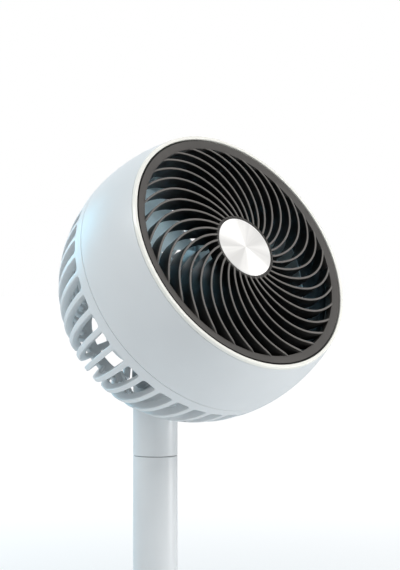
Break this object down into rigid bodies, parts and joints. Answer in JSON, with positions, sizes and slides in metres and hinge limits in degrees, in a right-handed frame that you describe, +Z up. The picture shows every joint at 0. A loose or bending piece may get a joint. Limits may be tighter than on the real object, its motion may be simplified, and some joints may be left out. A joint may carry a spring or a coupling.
{
  "type": "air circulator fan",
  "caption": "Table air circulator fan: a ball-shaped head with a swirled grille and a ribbed rear cage tilts on a swinging neck above a round weighted base with push buttons.",
  "frame": {"origin": "on the floor, at the foot of the stem's axis, on the underside of the anti-slip pad", "axes": "+Z up along the stem, -Y the way the fan blows, +X to the right of someone who looks at the fan from the side that it blows at"},
  "size_m": [0.2498, 0.2844, 0.4651],
  "materials": {
    "rubber": "matt anti-slip rubber",
    "black_plastic": "fine matt black",
    "cast_iron": "painted cast iron",
    "shell_white": "cool white satin moulding",
    "trim_white": "warm white gloss moulding",
    "duct_blue": "dark blue grey moulding",
    "grille_grey": "warm dark grey satin moulding",
    "smoked_blue": "dark smoky blue gloss moulding",
    "spun_metal": "spun and brushed disc",
    "steel": "ground steel",
    "zinc_steel": "zinc plated steel",
    "die_cast": "die cast aluminium",
    "copper": "enamelled copper wire",
    "brass": "sintered bronze and brass",
    "inner_grey": "grey inner moulding",
    "board_green": "circuit board with solder mask",
    "panel_black": "gloss black panel",
    "key_white": "white keys"
  },
  "bodies": {
    "base": {"anti_slip_pad": "rubber", "bottom_plate": "black_plastic", "ballast_weight": "cast_iron", "base_shell": "shell_white", "stem_socket": "inner_grey", "stem_collar": "trim_white", "stem_tube": "shell_white", "control_panel": "panel_black", "control_board": "board_green", "power_inlet": "black_plastic", "base_screw_1": "zinc_steel", "base_screw_2": "zinc_steel", "base_screw_3": "zinc_steel", "base_screw_4": "zinc_steel", "swing_stepper": "zinc_steel", "swing_motor_mount": "inner_grey", "swing_bearing": "black_plastic"},
    "neck": {"swing_shaft": "steel", "neck_hub": "inner_grey", "neck_tube": "shell_white", "tilt_shaft": "steel", "tilt_sector_gear": "brass"},
    "head": {"front_grille": "grille_grey", "hub_badge": "spun_metal", "rim_trim": "trim_white", "front_shell": "shell_white", "rear_shell": "shell_white", "rear_cap": "shell_white", "air_duct": "duct_blue", "motor_spider": "inner_grey", "motor_can": "zinc_steel", "motor_rear_shield": "die_cast", "stator_core": "steel", "winding_head_front": "copper", "winding_head_rear": "copper", "front_bearing": "steel", "rear_bearing": "steel", "tilt_bracket": "zinc_steel", "bracket_screw_1": "zinc_steel", "bracket_screw_2": "zinc_steel", "tilt_bush_left": "brass", "tilt_bush_right": "brass", "tilt_stepper": "zinc_steel", "shell_screw_1": "zinc_steel", "shell_screw_2": "zinc_steel", "shell_screw_3": "zinc_steel", "shell_screw_4": "zinc_steel"},
    "impeller": {"impeller": "smoked_blue", "impeller_nut": "black_plastic", "motor_shaft": "steel", "rotor_core": "zinc_steel"},
    "tilt_pinion": {"tilt_pinion": "brass"},
    "power_button": {"power_button": "key_white"},
    "speed_button": {"speed_button": "key_white"},
    "swing_button": {"swing_button": "key_white"},
    "timer_button": {"timer_button": "key_white"}
  },
  "joints": [
    {"name": "swing", "type": "hinge", "parent": "base", "child": "neck", "pos_m": [0, 0, 0.175], "axis": [0, 0, 1], "range_deg": [-40, 40]},
    {"name": "tilt", "type": "hinge", "parent": "neck", "child": "head", "pos_m": [0, 0, 0.25], "axis": [-1, 0, 0], "range_deg": [-28, 22]},
    {"name": "spin", "type": "hinge", "parent": "head", "child": "impeller", "pos_m": [0, -0.11482, 0.36315], "axis": [0, -0.8829, 0.4695], "continuous": true},
    {"name": "tilt_drive", "type": "hinge", "parent": "head", "child": "tilt_pinion", "pos_m": [0, -0.0095, 0.28108], "axis": [-1, 0, 0], "range_deg": [-95, 75]},
    {"name": "power_button_press", "type": "slide", "parent": "base", "child": "power_button", "axis": [0, 0.1305, -0.9915], "range_m": [0, 0.001], "stiffness_N_per_m": 300},
    {"name": "speed_button_press", "type": "slide", "parent": "base", "child": "speed_button", "axis": [0, 0.1305, -0.9915], "range_m": [0, 0.001], "stiffness_N_per_m": 300},
    {"name": "swing_button_press", "type": "slide", "parent": "base", "child": "swing_button", "axis": [0, 0.1305, -0.9915], "range_m": [0, 0.001], "stiffness_N_per_m": 300},
    {"name": "timer_button_press", "type": "slide", "parent": "base", "child": "timer_button", "axis": [0, 0.1305, -0.9915], "range_m": [0, 0.001], "stiffness_N_per_m": 300}
  ],
  "couplings": [
    {"joint": "tilt_drive", "follows": "tilt", "ratio": 3.3333}
  ]
}
